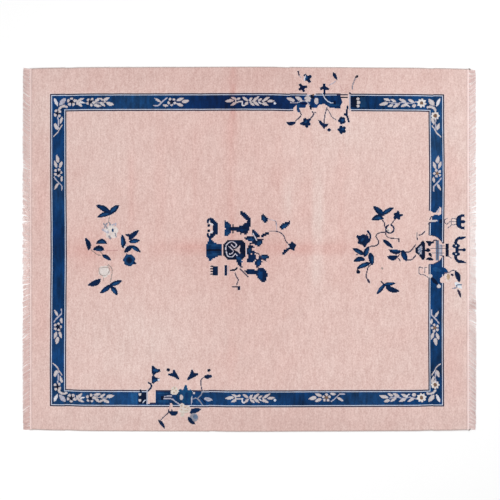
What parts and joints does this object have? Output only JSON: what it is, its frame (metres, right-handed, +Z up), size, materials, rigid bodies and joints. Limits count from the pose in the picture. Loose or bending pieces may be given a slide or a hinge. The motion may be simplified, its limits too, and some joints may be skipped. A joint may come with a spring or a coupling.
{
  "type": "hand-knotted wool area rug",
  "caption": "Rectangular flat area rug with wool pile, overcast long edges, narrow woven ends and a knotted fringe along each end.",
  "frame": {"origin": "centre of the underside, on the surface the rug lies on", "axes": "+X along the rug's length, towards the end that the tops of the motifs point to; +Y across its width; +Z up out of the pile"},
  "size_m": [3.06, 2.4588, 0.012],
  "materials": {
    "pile_wool": "dense matt cut wool pile, pale rose pink with navy, mid blue and cream motifs",
    "selvage_wool": "matt greyish pink overcast wool",
    "web_cotton": "pale pinkish plain-woven cotton",
    "fringe_cotton": "pale pinkish white knotted cotton warp ends, slightly tangled"
  },
  "bodies": {
    "root": {"pile": "pile_wool", "selvage_upper": "selvage_wool", "selvage_lower": "selvage_wool", "web_left": "web_cotton", "web_right": "web_cotton", "fringe_left": "fringe_cotton", "fringe_right": "fringe_cotton"}
  },
  "joints": []
}
